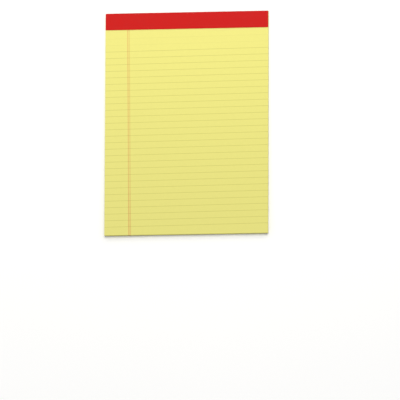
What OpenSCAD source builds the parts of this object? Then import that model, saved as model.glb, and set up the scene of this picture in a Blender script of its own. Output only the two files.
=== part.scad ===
// Ruled writing pad: perforated sheets on a board back, stapled through the
// stub at the head and bound with a folded tape and a coloured headband.
// The pad lies face up. X is its width, +Y points to the head, +Z is up.
// The origin is the centre of the footprint, on the surface the pad lies on.
// All sizes are in millimetres.

/* [Sheets] */
// Width of the pad
pad_w = 215.9; // [120:0.1:260]
// Length of a whole sheet, with its stub
sheet_l = 298.45; // [200:0.05:360]
// Number of sheets in the pad
sheet_count = 50; // [20:1:100]
// Thickness of one sheet
sheet_t = 0.09; // [0.07:0.005:0.13]

/* [Board back] */
// Thickness of the board
board_t = 0.76; // [0.75:0.01:1.5]

/* [Binding] */
// Thickness of the binding tape
tape_t = 0.15; // [0.1:0.01:0.2]
// Length of the tape's flap on the front, which the headband covers
front_flap = 22.4; // [18:0.1:30]
// Length of the tape's flap on the back
back_flap = 20; // [16:0.5:28]
// Thickness of the coloured headband
band_t = 0.12; // [0.06:0.01:0.2]

/* [Perforation] */
// Distance from the headband's lower edge to the row of slits
perf_gap = 0.7; // [0.4:0.1:3]
// Length of one slit
slit_l = 2.2; // [1:0.1:4]
// Uncut tie between two slits
tie_l = 0.6; // [0.4:0.1:1.5]
// Width of one slit
slit_w = 0.15; // [0.1:0.05:0.4]

/* [Staples] */
// Number of staples across the head
staple_count = 3; // [2:1:5]
// Width of a staple over its legs' centre lines
crown_l = 12; // [8:0.5:16]
// Diameter of the wire
wire_d = 0.45; // [0.3:0.05:0.5]
// Distance from the head edge of the sheets to the wire
staple_drop = 10; // [6:0.5:12]
// Length of a clinched leg under the board
clinch_l = 3.6; // [2:0.1:3.6]

/* [Hidden] */

$fn = 48;
// Room between the wire and the walls of its holes and grooves
room = 0.03;
// Overrun of a cutter past the face it starts from
over = 0.5;
// Radius of the wire's bends, on its centre line
bend_r = wire_d * 2 / 3;

// The folded tape stands past the sheets at the head, so the sheets sit back
// by half its thickness to keep the origin in the middle of the footprint.
foot_y = -(sheet_l + tape_t) / 2;
head_y = foot_y + sheet_l;
block_t = sheet_count * sheet_t;
paper_top = board_t + block_t;
flap_top = paper_top + tape_t;
perf_y = head_y - front_flap - perf_gap;
staple_y = head_y - staple_drop;
slit_pitch = slit_l + tie_l;
slit_count = floor((pad_w - tie_l) / slit_pitch);
staple_x = [for (i = [0 : staple_count - 1]) (i - (staple_count - 1) / 2) * pad_w / staple_count];
leg_x = crown_l / 2;
// Centre lines of the crown, sunk flush with the top sheet, and of the
// clinched legs, sunk flush with the face that the tape's back flap lies on
crown_z = paper_top - wire_d / 2;
clinch_z = tape_t + wire_d / 2;

// A block between two opposite corners
module span(a, b) {
    translate(a) cube(b - a);
}

// Holes for the two legs of every staple, from below the board to above the sheets
module leg_holes() {
    for (x = staple_x, s = [-1, 1])
        translate([x + s * leg_x, staple_y, -over])
            cylinder(d = wire_d + 2 * room, h = paper_top + 2 * over);
}

// Grooves that the crowns are pulled into
module crown_grooves() {
    e = leg_x + wire_d / 2 + room;
    for (x = staple_x)
        span([x - e, staple_y - wire_d / 2 - room, paper_top - wire_d - room],
             [x + e, staple_y + wire_d / 2 + room, paper_top + over]);
}

// Grooves that the clinched legs are pressed into
module clinch_grooves() {
    g = leg_x - clinch_l - room;
    for (x = staple_x, r = [[-leg_x, -g], [g, leg_x]])
        span([x + r[0], staple_y - wire_d / 2 - room, -over],
             [x + r[1], staple_y + wire_d / 2 + room, tape_t + wire_d + room]);
}

// The row of slits that lets a sheet tear off below the headband
module perforation() {
    for (i = [0 : slit_count - 1])
        translate([(i - (slit_count - 1) / 2) * slit_pitch, perf_y, board_t + block_t / 2])
            cube([slit_l, slit_w, block_t + 2 * over], center = true);
}

// All the sheets, as one block
module sheet_block() {
    color([0.95, 0.92, 0.50])
        difference() {
            span([-pad_w / 2, foot_y, board_t], [pad_w / 2, head_y, paper_top]);
            leg_holes();
            crown_grooves();
            perforation();
        }
}

// The stiff back. Under the tape's back flap it is pressed thinner by the
// tape's thickness, so that the pad lies flat.
module chipboard_back() {
    color([0.55, 0.51, 0.46])
        difference() {
            span([-pad_w / 2, foot_y, 0], [pad_w / 2, head_y, board_t]);
            span([-pad_w / 2 - over, head_y - back_flap, -over], [pad_w / 2 + over, head_y + over, tape_t]);
            leg_holes();
            clinch_grooves();
        }
}

// Section of the tape across the head, y to the right and z up, with round folds
module tape_section() {
    difference() {
        union() {
            translate([head_y - front_flap, paper_top]) square([front_flap, tape_t]);
            translate([head_y - back_flap, 0]) square([back_flap, tape_t]);
            translate([head_y, tape_t]) square([tape_t, paper_top - tape_t]);
            translate([head_y, paper_top]) circle(r = tape_t);
            translate([head_y, tape_t]) circle(r = tape_t);
        }
        translate([head_y - back_flap - over, tape_t]) square([back_flap + over, paper_top - tape_t]);
        translate([head_y - front_flap - over, tape_t]) square([front_flap + over, paper_top - tape_t]);
    }
}

// The tape, one strip folded round the head
module binding_tape() {
    color([0.37, 0.35, 0.33])
        translate([-pad_w / 2, 0, 0])
            rotate([90, 0, 90])
                linear_extrude(height = pad_w)
                    tape_section();
}

// The coloured strip on the tape's front flap
module headband() {
    color([0.83, 0.15, 0.14])
        span([-pad_w / 2, head_y - front_flap, flap_top], [pad_w / 2, head_y, flap_top + band_t]);
}

// A quarter bend of the wire in the XZ plane, from +X to +Z about the origin
module bend() {
    rotate([90, 0, 0])
        rotate_extrude(angle = 90)
            translate([bend_r, 0])
                circle(d = wire_d);
}

// A straight length of the wire along +X
module wire_x(l) {
    rotate([0, 90, 0]) cylinder(d = wire_d, h = l);
}

// Half a staple, for x from 0 to the leg: crown, bend, leg, bend and clinched end
module half_staple() {
    translate([0, 0, crown_z]) wire_x(leg_x - bend_r);
    translate([leg_x - bend_r, 0, crown_z - bend_r]) bend();
    translate([leg_x, 0, clinch_z + bend_r]) cylinder(d = wire_d, h = crown_z - clinch_z - 2 * bend_r);
    translate([leg_x - bend_r, 0, clinch_z + bend_r]) mirror([0, 0, 1]) bend();
    translate([leg_x - clinch_l, 0, clinch_z]) wire_x(clinch_l - bend_r);
}

// The staples, which stay clear of each other
module staples() {
    color([0.72, 0.73, 0.75])
        for (x = staple_x)
            translate([x, staple_y, 0])
                union() {
                    half_staple();
                    mirror([1, 0, 0]) half_staple();
                }
}

sheet_block();
chipboard_back();
binding_tape();
headband();
staples();
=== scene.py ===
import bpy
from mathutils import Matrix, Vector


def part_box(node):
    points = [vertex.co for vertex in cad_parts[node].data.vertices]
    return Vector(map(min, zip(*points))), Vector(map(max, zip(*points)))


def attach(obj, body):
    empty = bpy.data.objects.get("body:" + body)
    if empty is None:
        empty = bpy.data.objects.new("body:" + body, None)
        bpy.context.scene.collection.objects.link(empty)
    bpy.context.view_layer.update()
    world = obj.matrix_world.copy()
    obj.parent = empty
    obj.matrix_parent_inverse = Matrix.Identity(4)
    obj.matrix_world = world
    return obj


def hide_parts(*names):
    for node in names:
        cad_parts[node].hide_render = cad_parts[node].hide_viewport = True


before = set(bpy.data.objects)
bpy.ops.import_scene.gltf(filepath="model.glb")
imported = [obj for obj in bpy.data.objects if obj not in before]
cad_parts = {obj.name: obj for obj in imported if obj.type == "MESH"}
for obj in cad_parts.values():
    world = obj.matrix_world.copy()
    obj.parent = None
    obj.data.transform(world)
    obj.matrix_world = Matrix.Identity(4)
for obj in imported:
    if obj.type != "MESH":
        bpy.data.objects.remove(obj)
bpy.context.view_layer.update()  # metres: X across the pad, +Y to the bound head, +Z up out of the ruled face

import math
import random

import bpy
from mathutils import Quaternion, Vector

MM = 0.001

# ---------------------------------------------------------------- sizes, in millimetres
def box_mm(node):
    return [[round(c / MM, 4) for c in v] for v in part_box(node)]


(X0, FOOT, Z0), (X1, HEAD, Z1) = box_mm("sheet_block")
(_, FLAP_END, BAND_Z0), (_, _, BAND_Z1) = box_mm("headband")
(_, _, _), (_, TAPE_Y1, TAPE_Z1) = box_mm("binding_tape")
(_, STAPLE_Y0, _), (_, STAPLE_Y1, _) = box_mm("staples")
PAD_W = X1 - X0
SHEETS = 50
PITCH = (Z1 - Z0) / SHEETS
TAPE_T = TAPE_Y1 - HEAD
BACK_FLAP = 20.0
PERF_Y, SLIT_W, SLIT_L, TIE_L = FLAP_END - 0.7, 0.15, 2.2, 0.6
WIRE_Y, WIRE_D, CROWN, STAPLES = (STAPLE_Y0 + STAPLE_Y1) / 2, STAPLE_Y1 - STAPLE_Y0, 12.0, 3
STAPLE_X = [(i - (STAPLES - 1) / 2) * PAD_W / STAPLES for i in range(STAPLES)]
# the ruling: legal rule, 11/32 in apart, and a double margin rule 1 1/4 in from the left
RULES, RULE_GAP, RULE_TOP = 28, 25.4 * 11 / 32, HEAD - 50.65
MARGIN = (X0 + 30.75, X0 + 32.75)
PRINT_TURN = 0.0115  # radians


def smooth(t):
    t = min(1.0, max(0.0, t))
    return t * t * (3 - 2 * t)


# ---------------------------------------------------------------- mesh helpers
def net(xs, ys, slots=()):
    """Polygons over a grid of lines, counter-clockwise from above, with rows of slots left open."""
    lines = {y: list(xs) for y in ys}
    rows = {}
    for y0, y1, holes in slots:
        cuts = sorted(set(xs) | {x for h in holes for x in h})
        rows[y0] = (cuts, holes)
        lines[y0] = lines[y1] = cuts
    points, index, polys = [], {}, []

    def p(x, y):
        if (x, y) not in index:
            index[x, y] = len(points)
            points.append((x, y))
        return index[x, y]

    for a, b in zip(ys, ys[1:]):
        if a in rows:
            cuts, holes = rows[a]
            for u, v in zip(cuts, cuts[1:]):
                if not any(h0 < (u + v) / 2 < h1 for h0, h1 in holes):
                    polys.append([p(u, a), p(v, a), p(v, b), p(u, b)])
        else:
            for u, v in zip(xs, xs[1:]):
                low = [x for x in lines[a] if u <= x <= v]
                high = [x for x in lines[b] if u <= x <= v]
                polys.append([p(x, a) for x in low] + [p(x, b) for x in reversed(high)])
    return points, polys


def wall_side(a, b):
    """Which side of the sheet an edge lies on, or the wall of a slit or hole."""
    for name, k, at in (("left", 0, X0), ("right", 0, X1), ("foot", 1, FOOT), ("head", 1, HEAD)):
        if a[k] == at and b[k] == at:
            return name
    return "slit"


def thicken(points, polys, place, chart=None):
    """A closed solid from a net. place(x, y, side) puts a point of the bottom (0) or the top (1), and
    chart(kind, x, y, side) gives its place on the texture map."""
    n = len(points)
    verts = [place(x, y, 0) for x, y in points] + [place(x, y, 1) for x, y in points]
    faces = [tuple(reversed(q)) for q in polys] + [tuple(i + n for i in q) for q in polys]
    kinds = ["under"] * len(polys) + ["over"] * len(polys)
    edges = {}
    for q in polys:
        for i, j in zip(q, q[1:] + q[:1]):
            edges[i, j] = True
    for i, j in edges:
        if (j, i) not in edges:
            faces.append((i, j, j + n, i + n))
            kinds.append(wall_side(points[i], points[j]))
    charts = []
    if chart:
        charts = [chart(kind, *points[k % n], k // n) for kind, q in zip(kinds, faces) for k in q]
    return verts, faces, [k in ("under", "over") for k in kinds], charts


def new_object(name, verts, faces, smooth_faces, charts=()):
    mesh = bpy.data.meshes.new(name)
    mesh.from_pydata([[c * MM for c in v] for v in verts], [], faces)
    for poly, s in zip(mesh.polygons, smooth_faces):
        poly.use_smooth = s
    if charts:
        layer = mesh.uv_layers.new(name="OFBake")
        for item, uv in zip(layer.uv, charts):
            item.vector = uv
    mesh.update()
    obj = bpy.data.objects.new(name, mesh)
    bpy.context.scene.collection.objects.link(obj)
    return obj


# ---------------------------------------------------------------- the sheets
def spread(a, b, n, power):
    """n + 1 values from a to b that crowd towards a."""
    return [a + (b - a) * (i / n) ** power for i in range(n)] + [b]


def slit_row():
    pitch = SLIT_L + TIE_L
    n = math.floor((PAD_W - TIE_L) / pitch)
    mids = [(i - (n - 1) / 2) * pitch for i in range(n)]
    return (PERF_Y - SLIT_W / 2, PERF_Y + SLIT_W / 2, [(m - SLIT_L / 2, m + SLIT_L / 2) for m in mids])


def staple_row(with_crown):
    r = WIRE_D / 2 + 0.03
    if with_crown:
        holes = [(x - CROWN / 2 - r, x + CROWN / 2 + r) for x in STAPLE_X]
    else:
        holes = [(x + s * CROWN / 2 - r, x + s * CROWN / 2 + r) for x in STAPLE_X for s in (-1, 1)]
    return (WIRE_Y - r, WIRE_Y + r, holes)


def lift(level, x, y):
    """How far a sheet has risen off the pressed stack: the foot is a little loose, its corners most."""
    u = smooth((PERF_Y - y) / (PERF_Y - FOOT))
    side = abs(x) / (PAD_W / 2)
    loose = level * u * u * (0.16 + 0.05 * math.sin(x * 0.062 + 0.7))
    corner = max(0.0, level - 0.80) / 0.20
    near = math.exp(-(((PAD_W / 2 - abs(x)) / 34) ** 2 + ((y - FOOT) / 40) ** 2))
    return loose + 0.38 * corner**1.6 * near * (1.0 if x < 0 else 0.7) + 0.02 * level * u * side


def along(x, y):
    return (x - X0) / PAD_W, (y - FOOT) / (HEAD - FOOT)


def top_chart(i):
    """The upper face fills most of the map, beside a small lower face and four strips for the edges."""

    def chart(kind, x, y, side):
        u, v = along(x, y)
        if kind == "over":
            return 0.006 + 0.712 * u, 0.008 + 0.984 * v
        if kind == "under":
            return 0.735 + 0.255 * u, 0.008 + 0.352 * v
        if kind in ("left", "right"):
            return 0.735 + (0.03 if kind == "right" else 0.0) + 0.02 * side, 0.38 + 0.61 * v
        strip = ("foot", "head", "slit").index(kind)
        return 0.81 + 0.18 * u, 0.40 + 0.05 * strip + 0.03 * side

    return chart


def page_chart(i):
    """The cut edges of the stack take most of the map, a strip for each sheet; all faces share the rest."""
    row = 6 / 1024

    def chart(kind, x, y, side):
        u, v = along(x, y)
        if kind in ("over", "under"):
            return 0.01 + 0.09 * u, 0.87 + 0.122 * v
        if kind == "slit":
            return 0.15 + 0.8 * u, 0.90 + 0.02 * side
        strip = {"left": 0, "right": 1, "foot": 2, "head": 2}[kind]
        w = v if strip < 2 else u
        return 0.008 + 0.984 * w, 0.002 + strip * 0.289 + (i + 0.15 + 0.7 * side) * row

    return chart


def build_sheets(name, numbers, chart_for):
    half = spread(X1, 0.0, 7, 1.7)
    xs = sorted({round(x, 6) for x in half} | {round(-x, 6) for x in half})
    slits = slit_row()
    verts, faces, flags, charts, level_of = [], [], [], [], []
    for i in numbers:
        rng = random.Random(7100 + i)
        stitch = staple_row(with_crown=(SHEETS - i) * PITCH <= WIRE_D + PITCH)
        ys = spread(FOOT, slits[0], 13, 1.6) + [slits[1], (slits[1] + stitch[0]) / 2, stitch[0], stitch[1], HEAD]
        points, polys = net(xs, ys, [slits, stitch])
        dx, dy = rng.uniform(-0.05, 0.05), rng.uniform(-0.07, 0.05)
        ph = [rng.uniform(0, 6.283) for _ in range(3)]
        level = (i + 1) / SHEETS
        z = Z0 + i * PITCH

        def place(x, y, side):
            px, py = x, y
            if x == xs[0] or x == xs[-1]:
                px += dx * smooth((HEAD - y) / 60) + 0.02 * math.sin(y * 0.045 + ph[0])
            if y == FOOT:
                py += dy + 0.025 * math.sin(x * 0.05 + ph[1])
            elif y == HEAD:
                py -= 0.03
            return (px, py, z + lift(level, x, y) + (PITCH - 0.005) * side)

        v, f, _, uv = thicken(points, polys, place, chart_for(i))
        n = len(verts)
        verts += v
        faces += [tuple(k + n for k in q) for q in f]
        flags += [False] * len(f)  # a sheet bends too little to need smoothing, and its cut edges stay crisp
        charts += uv
        level_of += [float(i)] * len(v)
    obj = new_object(name, verts, faces, flags, charts)
    obj.data.attributes.new("sheet", "FLOAT", "POINT").data.foreach_set("value", level_of)
    return obj


# ---------------------------------------------------------------- the headband and the tape
def crown_bump(x, y, width):
    """The faint ridge that a crown under the tape leaves on what covers it."""
    best = 0.0
    for cx in STAPLE_X:
        along = smooth((CROWN / 2 + 1.6 - abs(x - cx)) / 1.6)
        best = max(best, along * math.exp(-(((y - WIRE_Y) / width) ** 2)))
    return best


def waver(x, y, k):
    """A slow, shallow unevenness of glued paper, in the range -1 to 1."""
    return (math.sin(x * 0.071 * k + y * 0.13 + 0.4) + math.sin(x * 0.113 * k - y * 0.21 + 2.1) + math.sin(x * 0.037 * k + 5.0)) / 3


def build_band():
    # steps of the rounded edge: distance in from the edge, and drop below the face
    rim = [(0.0, 0.045), (0.02, 0.015), (0.06, 0.0)]
    xs = [X0 + d for d, _ in rim]
    xs += [X0 + 0.06 + (PAD_W - 0.12) * i / 144 for i in range(1, 144)]
    xs += [X1 - d for d, _ in reversed(rim)]
    near = [WIRE_Y + d for d in (-2.4, -1.6, -1.0, -0.5, 0.0, 0.5, 1.0, 1.6, 2.4)]
    y0, y1 = FLAP_END, HEAD - 0.05
    ys = [y0 + d for d, _ in rim] + [y0 + 1.5, y0 + 4.0, y0 + 7.0, y0 + 9.5] + near + [y1 - 6.4, y1 - 4.0, y1 - 1.5]
    ys += [y1 - d for d, _ in reversed(rim)]
    points, polys = net(xs, ys)
    drop = {}
    for d, h in rim:
        drop[X0 + d] = drop[X1 - d] = drop[y0 + d] = drop[y1 - d] = h

    def place(x, y, side):
        ease = smooth(min(y - y0, y1 - y) / 2.0)
        z = BAND_Z0 + 0.05 * crown_bump(x, y, 0.9) + 0.012 * (1 + waver(x, y, 1.0)) * ease
        if side:
            z += (BAND_Z1 - BAND_Z0) - max(drop.get(x, 0.0), drop.get(y, 0.0))
        return (x, y, z)

    v, f, flat, _ = thicken(points, polys, place)
    return new_object("headband_strip", v, f, flat)


def build_tape():
    """A strip folded round the head: the section runs from the front flap over the spine to the back flap."""
    r = 0.05
    outer, inner, kind = [], [], []

    def add(o, i, k):
        outer.append(o)
        inner.append(i)
        kind.append(k)

    top, low, back = TAPE_Z1, TAPE_Z1 - TAPE_T, HEAD + TAPE_T
    for y in [FLAP_END, FLAP_END + 0.05, FLAP_END + 2, FLAP_END + 6, FLAP_END + 9.5] + [WIRE_Y + d for d in (-2.0, -1.2, -0.6, 0.0, 0.6, 1.2, 2.0)] + [HEAD - 6, HEAD - 3, HEAD - 1, HEAD - 0.3]:
        add((y, top), (y, low), "front")
    for i in range(9):
        a = math.pi / 2 * (1 - i / 8)
        c, s = math.cos(a), math.sin(a)
        add((HEAD - r + (r + TAPE_T) * c, low - r + (r + TAPE_T) * s), (HEAD - r + r * c, low - r + r * s), "fold")
    for i in range(1, 14):
        z = low - r - (low - TAPE_T - 2 * r) * i / 14
        add((back, z), (HEAD, z), "spine")
    for i in range(9):
        a = -math.pi / 2 * i / 8
        c, s = math.cos(a), math.sin(a)
        add((HEAD - r + (r + TAPE_T) * c, TAPE_T + r + (r + TAPE_T) * s), (HEAD - r + r * c, TAPE_T + r + r * s), "fold")
    y_end = HEAD - BACK_FLAP
    for y in (HEAD - 0.3, HEAD - 1, HEAD - 4, HEAD - 9, HEAD - 14, y_end + 2, y_end + 0.05, y_end):
        add((y, 0.0), (y, TAPE_T), "back")

    # the narrow first and last columns keep the cut ends crisp under smooth shading
    xs = [X0, X0 + 0.04] + [X0 + PAD_W * j / 120 for j in range(1, 120)] + [X1 - 0.04, X1]
    cols = len(xs) - 1
    n = len(outer)
    verts, faces, flags = [], [], []
    for x in xs:
        for k in range(n):
            (oy, oz), (iy, iz) = outer[k], inner[k]
            if kind[k] == "front":
                bump = 0.05 * crown_bump(x, oy, 0.9)
                e = smooth((oy - FLAP_END) / 2.0)
                rise = bump + 0.012 * (1 + waver(x, oy, 1.0)) * e * smooth((HEAD - 0.05 - oy) / 2.0)
                oz += rise
                iz += rise * 0.4
            elif kind[k] == "spine":
                m = math.sin(math.pi * (oz - TAPE_T) / (low - TAPE_T))
                oy += m * (0.05 + 0.035 * waver(x, oz * 4, 1.7) + 0.018 * math.sin(x * 0.9 + 3 * math.sin(x * 0.11)))
            verts.append((x, oy, oz))
        for k in range(n):
            verts.append((x, inner[k][0], inner[k][1] + (0.02 * crown_bump(x, inner[k][0], 0.9) if kind[k] == "front" else 0.0)))
    step = 2 * n
    for j in range(cols):
        a, b = j * step, (j + 1) * step
        for k in range(n - 1):
            faces.append((a + k, a + k + 1, b + k + 1, b + k))
            faces.append((a + n + k, b + n + k, b + n + k + 1, a + n + k + 1))
            flags += [True, True]
        faces.append((a, b, b + n, a + n))
        faces.append((a + n - 1, a + 2 * n - 1, b + 2 * n - 1, b + n - 1))
        flags += [False, False]
    for j, turn in ((0, False), (cols, True)):
        a = j * step
        for k in range(n - 1):
            q = (a + k, a + n + k, a + n + k + 1, a + k + 1)
            faces.append(tuple(reversed(q)) if turn else q)
            flags.append(False)
    # the faces were listed with the outside to the left of the walk, so they are turned outwards here
    faces = [tuple(reversed(f)) for f in faces]
    return new_object("tape_wrap", verts, faces, flags)


# ---------------------------------------------------------------- materials
class Nodes:
    """A material's node tree, with short calls for the nodes used here."""

    def __init__(self, name):
        self.mat = bpy.data.materials.new(name)
        self.mat.use_nodes = True
        self.tree = self.mat.node_tree
        self.tree.nodes.clear()
        self.out = self.tree.nodes.new("ShaderNodeOutputMaterial")
        self.bsdf = self.tree.nodes.new("ShaderNodeBsdfPrincipled")
        self.tree.links.new(self.bsdf.outputs[0], self.out.inputs["Surface"])
        coord = self.tree.nodes.new("ShaderNodeTexCoord")
        self.mm = self.vec("MULTIPLY", coord.outputs["Object"], (1000.0, 1000.0, 1000.0))
        sep = self.tree.nodes.new("ShaderNodeSeparateXYZ")
        self.link(self.mm, sep.inputs[0])
        self.x, self.y, self.z = sep.outputs
        geo = self.tree.nodes.new("ShaderNodeNewGeometry")
        sep = self.tree.nodes.new("ShaderNodeSeparateXYZ")
        self.link(geo.outputs["Normal"], sep.inputs[0])
        self.nz = sep.outputs[2]

    def link(self, a, socket):
        if hasattr(a, "is_output"):
            self.tree.links.new(a, socket)
        else:
            socket.default_value = a

    def m(self, op, a, b=None, c=None, clamp=False):
        n = self.tree.nodes.new("ShaderNodeMath")
        n.operation, n.use_clamp = op, clamp
        for v, s in zip((a, b, c), n.inputs):
            if v is not None:
                self.link(v, s)
        return n.outputs[0]

    def vec(self, op, a, b):
        n = self.tree.nodes.new("ShaderNodeVectorMath")
        n.operation = op
        self.link(a, n.inputs[0])
        self.link(b, n.inputs[1])
        return n.outputs[0]

    def step(self, v, a, b, lo=0.0, hi=1.0):
        """Smooth step of v from a to b, given as lo to hi."""
        n = self.tree.nodes.new("ShaderNodeMapRange")
        n.interpolation_type = "SMOOTHSTEP"
        for val, s in zip((v, a, b, lo, hi), n.inputs):
            self.link(val, s)
        return n.outputs[0]

    def noise(self, size, detail=3.0, rough=0.5, stretch=(1.0, 1.0, 1.0), offset=(0.0, 0.0, 0.0), kind="noise"):
        """Noise with features of about the given size in millimetres, stretched along the axes."""
        p = self.vec("ADD", self.mm, offset)
        p = self.vec("DIVIDE", p, tuple(size * s for s in stretch))
        n = self.tree.nodes.new("ShaderNodeTexNoise")
        self.link(p, n.inputs["Vector"])
        n.inputs["Scale"].default_value = 1.0
        n.inputs["Detail"].default_value = detail
        n.inputs["Roughness"].default_value = rough
        return n.outputs["Fac"] if "Fac" in n.outputs else n.outputs[0]

    def white(self, w):
        n = self.tree.nodes.new("ShaderNodeTexWhiteNoise")
        n.noise_dimensions = "1D"
        self.link(w, n.inputs["W"])
        return n.outputs["Value"]

    def mix(self, fac, a, b, blend="MIX"):
        n = self.tree.nodes.new("ShaderNodeMix")
        n.data_type, n.blend_type = "RGBA", blend
        n.clamp_factor = True
        self.link(fac, n.inputs[0])
        self.link(a if hasattr(a, "is_output") else (*a, 1.0), n.inputs[6])
        self.link(b if hasattr(b, "is_output") else (*b, 1.0), n.inputs[7])
        return n.outputs[2]

    def shade(self, colour, factor):
        """A colour times a grey factor."""
        n = self.tree.nodes.new("ShaderNodeCombineXYZ")
        for s in n.inputs:
            self.link(factor, s)
        return self.mix(1.0, colour, n.outputs[0], "MULTIPLY")

    def vary(self, fac, lo, hi):
        n = self.tree.nodes.new("ShaderNodeMapRange")
        for val, s in zip((fac, 0.0, 1.0, lo, hi), n.inputs):
            self.link(val, s)
        return n.outputs[0]

    def bump(self, height, distance_mm, strength=1.0, normal=None):
        n = self.tree.nodes.new("ShaderNodeBump")
        n.inputs["Strength"].default_value = strength
        n.inputs["Distance"].default_value = distance_mm * MM
        self.link(height, n.inputs["Height"])
        if normal is not None:
            self.link(normal, n.inputs["Normal"])
        return n.outputs[0]


def paper_material():
    n = Nodes("ruled_paper")
    face = n.step(n.m("ABSOLUTE", n.nz), 0.55, 0.85)  # 1 on a sheet's faces, 0 on its cut edges
    edge = n.m("SUBTRACT", 1.0, face)
    number = n.tree.nodes.new("ShaderNodeAttribute")
    number.attribute_name = "sheet"
    chance = n.white(number.outputs["Fac"])

    # the paper itself: cloudy formation, fine fibres, and cut edges that differ from sheet to sheet
    cloud = n.noise(5.0, 3.0, 0.55)
    fibre_a = n.noise(0.16, 2.0, 0.6, (1.0, 5.5, 1.0))
    fibre_b = n.noise(0.16, 2.0, 0.6, (4.0, 1.2, 1.0), (31.0, 7.0, 3.0))
    tone = n.m("MULTIPLY", n.vary(cloud, 0.982, 1.018), n.vary(n.m("MULTIPLY", fibre_a, fibre_b), 0.975, 1.06))
    tone = n.m("MULTIPLY", tone, n.m("ADD", face, n.m("MULTIPLY", edge, n.vary(chance, 0.84, 1.03))))
    grain = n.noise(1.1, 2.0, 0.5, (1.0, 1.0, 0.4), (5.0, 11.0, 2.0))
    tone = n.m("MULTIPLY", tone, n.m("ADD", face, n.m("MULTIPLY", edge, n.vary(grain, 0.90, 1.08))))
    colour = n.shade(PAPER, tone)

    # the print lies a little askew on the trimmed sheet
    across = n.m("ADD", n.x, n.m("MULTIPLY", n.y, PRINT_TURN))
    down = n.m("SUBTRACT", n.y, n.m("MULTIPLY", n.x, PRINT_TURN))

    # faint grey rules; on the cut edges only their ends show, a little out of line from sheet to sheet
    slip = n.m("MULTIPLY", edge, n.vary(chance, -0.45, 0.45))
    t = n.m("DIVIDE", n.m("SUBTRACT", RULE_TOP, n.m("ADD", down, slip)), RULE_GAP)
    off = n.m("MULTIPLY", n.m("PINGPONG", t, 0.5), RULE_GAP)
    line = n.step(off, 0.12, 0.31, 1.0, 0.0)
    printed = n.m("MULTIPLY", n.m("GREATER_THAN", t, -0.5), n.m("LESS_THAN", t, RULES - 0.5))
    # the ruled back of the sheet shows through faintly in the head space
    ghost = n.m("MULTIPLY", n.m("GREATER_THAN", t, -2.5), n.m("LESS_THAN", t, -0.5))
    ghost = n.m("MULTIPLY", ghost, n.m("MULTIPLY", face, 0.22))
    ink = n.m("MULTIPLY", line, n.m("ADD", printed, ghost))
    ink = n.m("MULTIPLY", ink, n.m("ADD", face, n.m("MULTIPLY", edge, 0.35)))
    ink = n.m("MULTIPLY", ink, n.vary(n.noise(2.2, 2.0, 0.6, (3.0, 0.3, 1.0)), 0.82, 1.10), clamp=True)
    colour = n.mix(n.m("MULTIPLY", ink, RULE_INK[3]), colour, n.mix(1.0, colour, RULE_INK[:3], "MULTIPLY"))

    # the double red margin rule: ink that has spread a little, the left line the fuller one,
    # both fuller towards the foot
    mark = None
    for x, full in zip(MARGIN, (1.0, 0.7)):
        d = n.m("ABSOLUTE", n.m("SUBTRACT", n.m("ADD", across, slip), x))
        one = n.m("ADD", n.step(d, 0.28, 0.62, 0.62 * full, 0.0), n.step(d, 0.1, 1.4, 0.38 * full, 0.0))
        mark = one if mark is None else n.m("ADD", mark, one)
    mark = n.m("MULTIPLY", mark, n.step(n.y, FOOT + 15.0, FOOT + 85.0, 1.0, 0.74))
    mark = n.m("MULTIPLY", mark, n.m("ADD", face, n.m("MULTIPLY", edge, 0.4)))
    mark = n.m("MULTIPLY", mark, n.vary(n.noise(1.8, 2.0, 0.6, (0.3, 3.0, 1.0), (3.0, 9.0, 1.0)), 0.75, 1.1), clamp=True)
    colour = n.mix(n.m("MULTIPLY", mark, MARGIN_INK[3]), colour, n.mix(1.0, colour, MARGIN_INK[:3], "MULTIPLY"))

    n.link(colour, n.bsdf.inputs["Base Color"])
    n.link(n.vary(cloud, 0.74, 0.86), n.bsdf.inputs["Roughness"])
    n.bsdf.inputs["Specular IOR Level"].default_value = 0.22
    height = n.m("ADD", n.m("MULTIPLY", fibre_a, 0.6), n.m("MULTIPLY", fibre_b, 0.6))
    n.link(n.bump(height, 0.012, 0.55), n.bsdf.inputs["Normal"])
    return n.mat


def band_material():
    n = Nodes("red_band_paper")
    face = n.step(n.nz, 0.25, 0.6)
    cloud = n.noise(7.0, 3.0, 0.55)
    fibre = n.noise(0.18, 2.0, 0.6, (4.5, 1.0, 1.0))
    cross = n.noise(0.18, 2.0, 0.6, (1.0, 3.5, 1.0), (17.0, 5.0, 2.0))
    tone = n.m("MULTIPLY", n.vary(cloud, 0.955, 1.035), n.vary(n.m("MULTIPLY", fibre, cross), 0.955, 1.13))
    colour = n.shade(BAND, tone)
    # flecks where the ink is a little thinner, and the bare paper of the cut edges
    speck = n.step(n.noise(0.5, 2.0, 0.6, (1.0, 1.0, 1.0), (41.0, 3.0, 9.0)), 0.66, 0.74)
    colour = n.mix(n.m("MULTIPLY", speck, 0.16), colour, (0.72, 0.20, 0.17))
    colour = n.mix(face, (0.62, 0.19, 0.17), colour)
    n.link(colour, n.bsdf.inputs["Base Color"])
    n.link(n.vary(cloud, 0.42, 0.56), n.bsdf.inputs["Roughness"])
    n.bsdf.inputs["Specular IOR Level"].default_value = 0.1
    height = n.m("ADD", n.m("MULTIPLY", fibre, 0.7), n.m("MULTIPLY", cross, 0.5))
    n.link(n.bump(height, 0.008, 0.5), n.bsdf.inputs["Normal"])
    return n.mat


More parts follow.
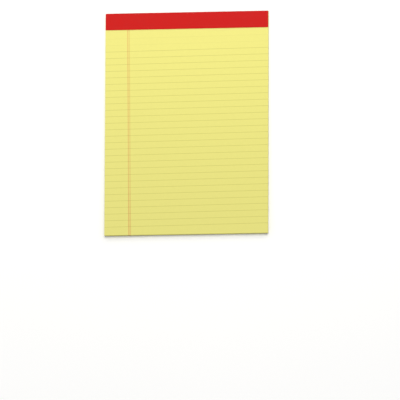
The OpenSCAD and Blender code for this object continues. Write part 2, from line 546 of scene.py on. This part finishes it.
def tape_material():
    n = Nodes("binding_tape_paper")
    cloud = n.noise(6.0, 4.0, 0.6)
    crepe = n.noise(0.22, 2.0, 0.55, (6.0, 1.0, 1.0))
    tooth = n.noise(0.12, 2.0, 0.6, (1.0, 1.0, 1.0), (9.0, 4.0, 1.0))
    tone = n.m("MULTIPLY", n.vary(cloud, 0.86, 1.12), n.vary(crepe, 0.84, 1.18))
    colour = n.shade(TAPE, tone)
    fleck = n.step(n.noise(0.30, 2.0, 0.6, (3.0, 1.0, 1.0), (2.0, 8.0, 6.0)), 0.63, 0.72)
    colour = n.mix(n.m("MULTIPLY", fleck, 0.35), colour, (0.195, 0.178, 0.162))
    n.link(colour, n.bsdf.inputs["Base Color"])
    n.link(n.vary(tooth, 0.56, 0.76), n.bsdf.inputs["Roughness"])
    n.bsdf.inputs["Specular IOR Level"].default_value = 0.3
    height = n.m("ADD", n.m("MULTIPLY", crepe, 0.8), n.m("MULTIPLY", tooth, 0.4))
    n.link(n.bump(height, 0.03, 0.6), n.bsdf.inputs["Normal"])
    return n.mat


def board_material():
    n = Nodes("grey_chipboard")
    cloud = n.noise(9.0, 4.0, 0.6)
    fibre = n.noise(0.28, 3.0, 0.6, (1.0, 7.0, 1.0))
    cross = n.noise(0.24, 3.0, 0.6, (5.0, 1.0, 1.0), (13.0, 2.0, 5.0))
    tone = n.m("MULTIPLY", n.vary(cloud, 0.88, 1.10), n.vary(n.m("MULTIPLY", fibre, cross), 0.84, 1.34))
    colour = n.shade(BOARD, tone)
    dark = n.step(n.noise(0.55, 2.0, 0.65, (1.0, 2.2, 1.0), (3.0, 21.0, 4.0)), 0.63, 0.71)
    pale = n.step(n.noise(0.45, 2.0, 0.65, (2.4, 1.0, 1.0), (51.0, 1.0, 8.0)), 0.65, 0.73)
    colour = n.mix(n.m("MULTIPLY", dark, 0.6), colour, (0.105, 0.09, 0.075))
    colour = n.mix(n.m("MULTIPLY", pale, 0.5), colour, (0.50, 0.46, 0.40))
    # the cut edges show the board's layers
    edge = n.step(n.m("ABSOLUTE", n.nz), 0.55, 0.85, 1.0, 0.0)
    layer = n.noise(0.10, 2.0, 0.6, (60.0, 60.0, 1.0), (1.0, 1.0, 1.0))
    colour = n.mix(edge, colour, n.shade(colour, n.vary(layer, 0.55, 1.15)))
    n.link(colour, n.bsdf.inputs["Base Color"])
    n.link(n.vary(cloud, 0.80, 0.92), n.bsdf.inputs["Roughness"])
    n.bsdf.inputs["Specular IOR Level"].default_value = 0.2
    height = n.m("ADD", n.m("MULTIPLY", fibre, 0.7), n.m("MULTIPLY", cross, 0.7))
    n.link(n.bump(height, 0.05, 0.6), n.bsdf.inputs["Normal"])
    return n.mat


def wire_material():
    n = Nodes("drawn_wire")
    draw = n.noise(0.05, 2.0, 0.5, (60.0, 1.0, 1.0))
    cloud = n.noise(1.5, 3.0, 0.6)
    n.link(n.shade((0.60, 0.61, 0.62), n.m("MULTIPLY", n.vary(draw, 0.85, 1.1), n.vary(cloud, 0.9, 1.06))), n.bsdf.inputs["Base Color"])
    n.bsdf.inputs["Metallic"].default_value = 1.0
    n.link(n.vary(draw, 0.22, 0.42), n.bsdf.inputs["Roughness"])
    n.link(n.bump(draw, 0.006, 0.5), n.bsdf.inputs["Normal"])
    return n.mat


# linear colours; the inks are factors on what they are printed on, with a strength
PAPER = (0.733, 0.692, 0.206)
RULE_INK = (0.56, 0.57, 0.40, 0.69)
MARGIN_INK = (0.84, 0.20, 0.22, 0.59)
BAND = (0.505, 0.0034, 0.0026)
TAPE = (0.104, 0.096, 0.090)
BOARD = (0.30, 0.262, 0.215)


# ---------------------------------------------------------------- pieces on the frame
def put(piece, node, material):
    piece.data.materials.append(material)
    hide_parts(node)
    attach(piece, "root")


paper = paper_material()
put(build_sheets("top_sheet", [SHEETS - 1], top_chart), "sheet_block", paper)
put(build_sheets("pages", range(SHEETS - 1), page_chart), "sheet_block", paper)
put(build_band(), "headband", band_material())
put(build_tape(), "binding_tape", tape_material())
for name, material in (("chipboard_back", board_material()), ("staples", wire_material())):
    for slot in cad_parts[name].material_slots:
        slot.material = material

# ---------------------------------------------------------------- floor, light and camera
mesh = bpy.data.meshes.new("floor")
mesh.from_pydata([(-12, -12, -1e-5), (12, -12, -1e-5), (12, 12, -1e-5), (-12, 12, -1e-5)], [], [(0, 1, 2, 3)])
floor = bpy.data.objects.new("floor", mesh)
bpy.context.scene.collection.objects.link(floor)
pale = Nodes("pale_floor")
pale.link(pale.shade((0.98, 0.98, 0.98), pale.vary(pale.noise(400.0, 2.0), 0.992, 1.008)), pale.bsdf.inputs["Base Color"])
pale.bsdf.inputs["Roughness"].default_value = 0.9
pale.bsdf.inputs["Specular IOR Level"].default_value = 0.0
floor.data.materials.append(pale.mat)


def light(name, kind, at, to, energy):
    data = bpy.data.lights.new(name, kind)
    data.energy = energy
    obj = bpy.data.objects.new(name, data)
    obj.location = at
    obj.rotation_mode = "QUATERNION"
    obj.rotation_quaternion = (Vector(to) - Vector(at)).to_track_quat("-Z", "Y")
    bpy.context.scene.collection.objects.link(obj)
    return data


# a broad soft light high over the head of the pad, and a low panel close to the head
high = light("high", "SUN", (0.115, 0.316, 0.942), (0.0, 0.0, 0.0), 0.385 * math.pi)
high.angle = math.radians(30)
panel = light("panel", "AREA", (0.0, 0.26, 0.31), (0.0, 0.09, 0.0), 0.88)
panel.shape, panel.size, panel.size_y = "RECTANGLE", 1.0, 0.25
panel.color = (1.0, 0.95, 0.74)

# a white dome, brighter overhead than at the horizon
world = bpy.data.worlds.new("studio")
bpy.context.scene.world = world
world.use_nodes = True
sky = world.node_tree
coord = sky.nodes.new("ShaderNodeTexCoord")
part = sky.nodes.new("ShaderNodeSeparateXYZ")
ramp = sky.nodes.new("ShaderNodeMapRange")
ramp.inputs["To Min"].default_value, ramp.inputs["To Max"].default_value = 0.44, 0.66
sky.links.new(coord.outputs["Generated"], part.inputs[0])
sky.links.new(part.outputs["Z"], ramp.inputs["Value"])
sky.links.new(ramp.outputs["Result"], sky.nodes["Background"].inputs["Strength"])
sky.nodes["Background"].inputs["Color"].default_value = (1.0, 1.0, 1.0, 1.0)

bpy.context.scene.view_settings.view_transform = "Standard"

camera = bpy.data.cameras.new("camera")
camera.sensor_width, camera.lens = 36.0, 720.0
camera.clip_start, camera.clip_end = 0.1, 100.0
eye = bpy.data.objects.new("camera", camera)
eye.location = (1.124894, -2.173788, 10.249590)
eye.rotation_mode = "QUATERNION"
eye.rotation_quaternion = Quaternion((0.9936601, 0.0989119, 0.0533288, -0.0034737))
bpy.context.scene.collection.objects.link(eye)
bpy.context.scene.camera = eye
